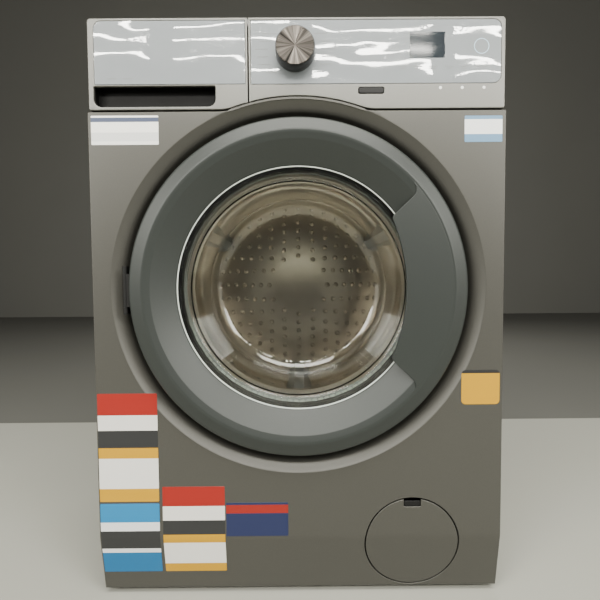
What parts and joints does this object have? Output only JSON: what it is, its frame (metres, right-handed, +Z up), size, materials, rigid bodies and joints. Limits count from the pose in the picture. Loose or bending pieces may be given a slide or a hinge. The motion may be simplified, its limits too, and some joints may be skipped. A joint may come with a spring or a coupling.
{
  "type": "front load washing machine",
  "caption": "Free-standing front loading washer with a round glass door, pull-out detergent drawer, programme knob, sprung tub, turning drum and drain filter.",
  "frame": {"origin": "on the floor under the middle of the machine's box", "axes": "+Z up, front facing -Y, +X to the right seen from the front"},
  "size_m": [0.597, 0.65, 0.85],
  "materials": {
    "cabinet_paint": "dark metallic grey powder coat, satin",
    "fascia_plastic": "metallic grey painted moulding",
    "inlay_gloss": "glossy silver grey inlay under a clear protective film",
    "knob_metal": "radially brushed dark metal",
    "ring_plastic": "slate grey satin moulding",
    "black_plastic": "moulded",
    "grey_plastic": "moulded, glass filled",
    "white_plastic": "moulded, satin",
    "blue_plastic": "moulded",
    "galvanised_steel": "zinc coated",
    "stainless_steel": "bright rolled",
    "cast_aluminium": "as cast",
    "black_steel": "black coated",
    "black_rubber": "moulded",
    "grey_rubber": "moulded",
    "door_glass": "pressed, polished",
    "concrete": "cast concrete",
    "lifter_plastic": "moulded, light grey",
    "worktop_laminate": "particle board under a grey laminate",
    "motor_shell": "pressed shell round windings"
  },
  "bodies": {
    "root": {"base_tray": "black_plastic", "left_side_panel": "cabinet_paint", "right_side_panel": "cabinet_paint", "rear_panel": "galvanised_steel", "rear_access_cover": "galvanised_steel", "worktop": "worktop_laminate", "top_brace": "galvanised_steel", "front_panel": "cabinet_paint", "control_panel": "fascia_plastic", "fascia_inlay": "inlay_gloss", "dispenser_housing": "white_plastic", "spring_left": "galvanised_steel", "spring_right": "galvanised_steel", "damper_cylinder_left": "grey_plastic", "damper_cylinder_right": "grey_plastic", "hinge_bracket": "black_steel", "door_lock": "black_plastic", "door_gasket": "grey_rubber", "pump_housing": "grey_plastic", "sump_hose": "black_rubber", "drain_hose": "black_rubber", "inlet_valve": "white_plastic", "power_inlet": "black_plastic", "fill_hose": "grey_rubber"},
    "foot_front_left": {"foot_front_left": "black_rubber"},
    "foot_front_right": {"foot_front_right": "black_rubber"},
    "foot_rear_left": {"foot_rear_left": "black_rubber"},
    "foot_rear_right": {"foot_rear_right": "black_rubber"},
    "knob": {"programme_knob": "knob_metal"},
    "power_button": {"power_button": "fascia_plastic"},
    "drawer": {"drawer_front": "fascia_plastic", "drawer_inlay": "inlay_gloss", "drawer_tray": "white_plastic", "softener_siphon": "blue_plastic"},
    "tub": {"tub_rear": "grey_plastic", "tub_front": "grey_plastic", "front_counterweight": "concrete", "drum_bearing": "galvanised_steel", "motor_stator": "motor_shell", "drive_belt": "black_rubber", "drying_duct": "grey_plastic", "damper_rod_left": "galvanised_steel", "damper_rod_right": "galvanised_steel"},
    "drum": {"drum_shell": "stainless_steel", "spider_shaft": "cast_aluminium", "drum_lifter_1": "lifter_plastic", "drum_lifter_2": "lifter_plastic", "drum_lifter_3": "lifter_plastic", "drum_pulley": "cast_aluminium"},
    "motor_rotor": {"motor_rotor": "galvanised_steel"},
    "drying_fan": {"fan_impeller": "black_plastic"},
    "door": {"door_outer_ring": "ring_plastic", "door_handle": "ring_plastic", "door_inner_ring": "black_plastic", "door_glass": "door_glass", "door_hinge_arm": "black_steel"},
    "door_hook": {"door_hook": "galvanised_steel"},
    "filter_cover": {"filter_cover": "cabinet_paint"},
    "filter_plug": {"filter_plug": "grey_plastic"},
    "pump_impeller": {"pump_impeller": "grey_plastic"}
  },
  "joints": [
    {"name": "door_swing", "type": "hinge", "parent": "root", "child": "door", "pos_m": [-0.2465, -0.312, 0.4655], "axis": [0, 0, -1], "range_deg": [0, 150]},
    {"name": "hook_pivot", "type": "hinge", "parent": "door", "child": "door_hook", "pos_m": [0.222, -0.2835, 0.4655], "axis": [0, 0, 1], "range_deg": [0, 8], "stiffness_Nm_per_rad": 0.5},
    {"name": "drawer_slide", "type": "slide", "parent": "root", "child": "drawer", "axis": [0, -1, 0], "range_m": [0, 0.2]},
    {"name": "knob_turn", "type": "hinge", "parent": "root", "child": "knob", "pos_m": [-0.0025, -0.3, 0.8], "axis": [0, -1, 0], "continuous": true},
    {"name": "power_press", "type": "slide", "parent": "root", "child": "power_button", "axis": [0, 1, 0], "range_m": [0, 0.0015], "stiffness_N_per_m": 600, "springref_m": -0.001},
    {"name": "filter_cover_tilt", "type": "hinge", "parent": "root", "child": "filter_cover", "pos_m": [0.1667, -0.28585, 0.02], "axis": [1, 0, 0], "range_deg": [0, 80]},
    {"name": "filter_plug_turn", "type": "hinge", "parent": "root", "child": "filter_plug", "pos_m": [0.1667, -0.25, 0.0835], "axis": [0, -1, 0], "range_deg": [0, 120]},
    {"name": "pump_spin", "type": "hinge", "parent": "root", "child": "pump_impeller", "pos_m": [0.1667, -0.158, 0.0835], "axis": [0, 1, 0], "continuous": true},
    {"name": "tub_travel", "type": "slide", "parent": "root", "child": "tub", "axis": [0, 0, 1], "range_m": [-0.01, 0.006], "stiffness_N_per_m": 20000, "springref_m": 0.0187, "deforming": ["spring_left", "spring_right", "fill_hose", "sump_hose", "door_gasket"]},
    {"name": "drum_spin", "type": "hinge", "parent": "tub", "child": "drum", "pos_m": [0, -0.036, 0.4655], "axis": [0, 1, 0], "continuous": true},
    {"name": "motor_spin", "type": "hinge", "parent": "tub", "child": "motor_rotor", "pos_m": [0.055, 0.178, 0.14417], "axis": [0, 1, 0], "continuous": true},
    {"name": "fan_spin", "type": "hinge", "parent": "tub", "child": "drying_fan", "pos_m": [0.115, 0.1, 0.79], "axis": [0, 0, 1], "continuous": true},
    {"name": "foot_front_left_screw", "type": "slide", "parent": "root", "child": "foot_front_left", "axis": [0, 0, -1], "range_m": [0, 0.015]},
    {"name": "foot_front_right_screw", "type": "slide", "parent": "root", "child": "foot_front_right", "axis": [0, 0, -1], "range_m": [0, 0.015]},
    {"name": "foot_rear_left_screw", "type": "slide", "parent": "root", "child": "foot_rear_left", "axis": [0, 0, -1], "range_m": [0, 0.015]},
    {"name": "foot_rear_right_screw", "type": "slide", "parent": "root", "child": "foot_rear_right", "axis": [0, 0, -1], "range_m": [0, 0.015]}
  ],
  "couplings": [
    {"joint": "motor_spin", "follows": "drum_spin", "ratio": 11.667}
  ]
}
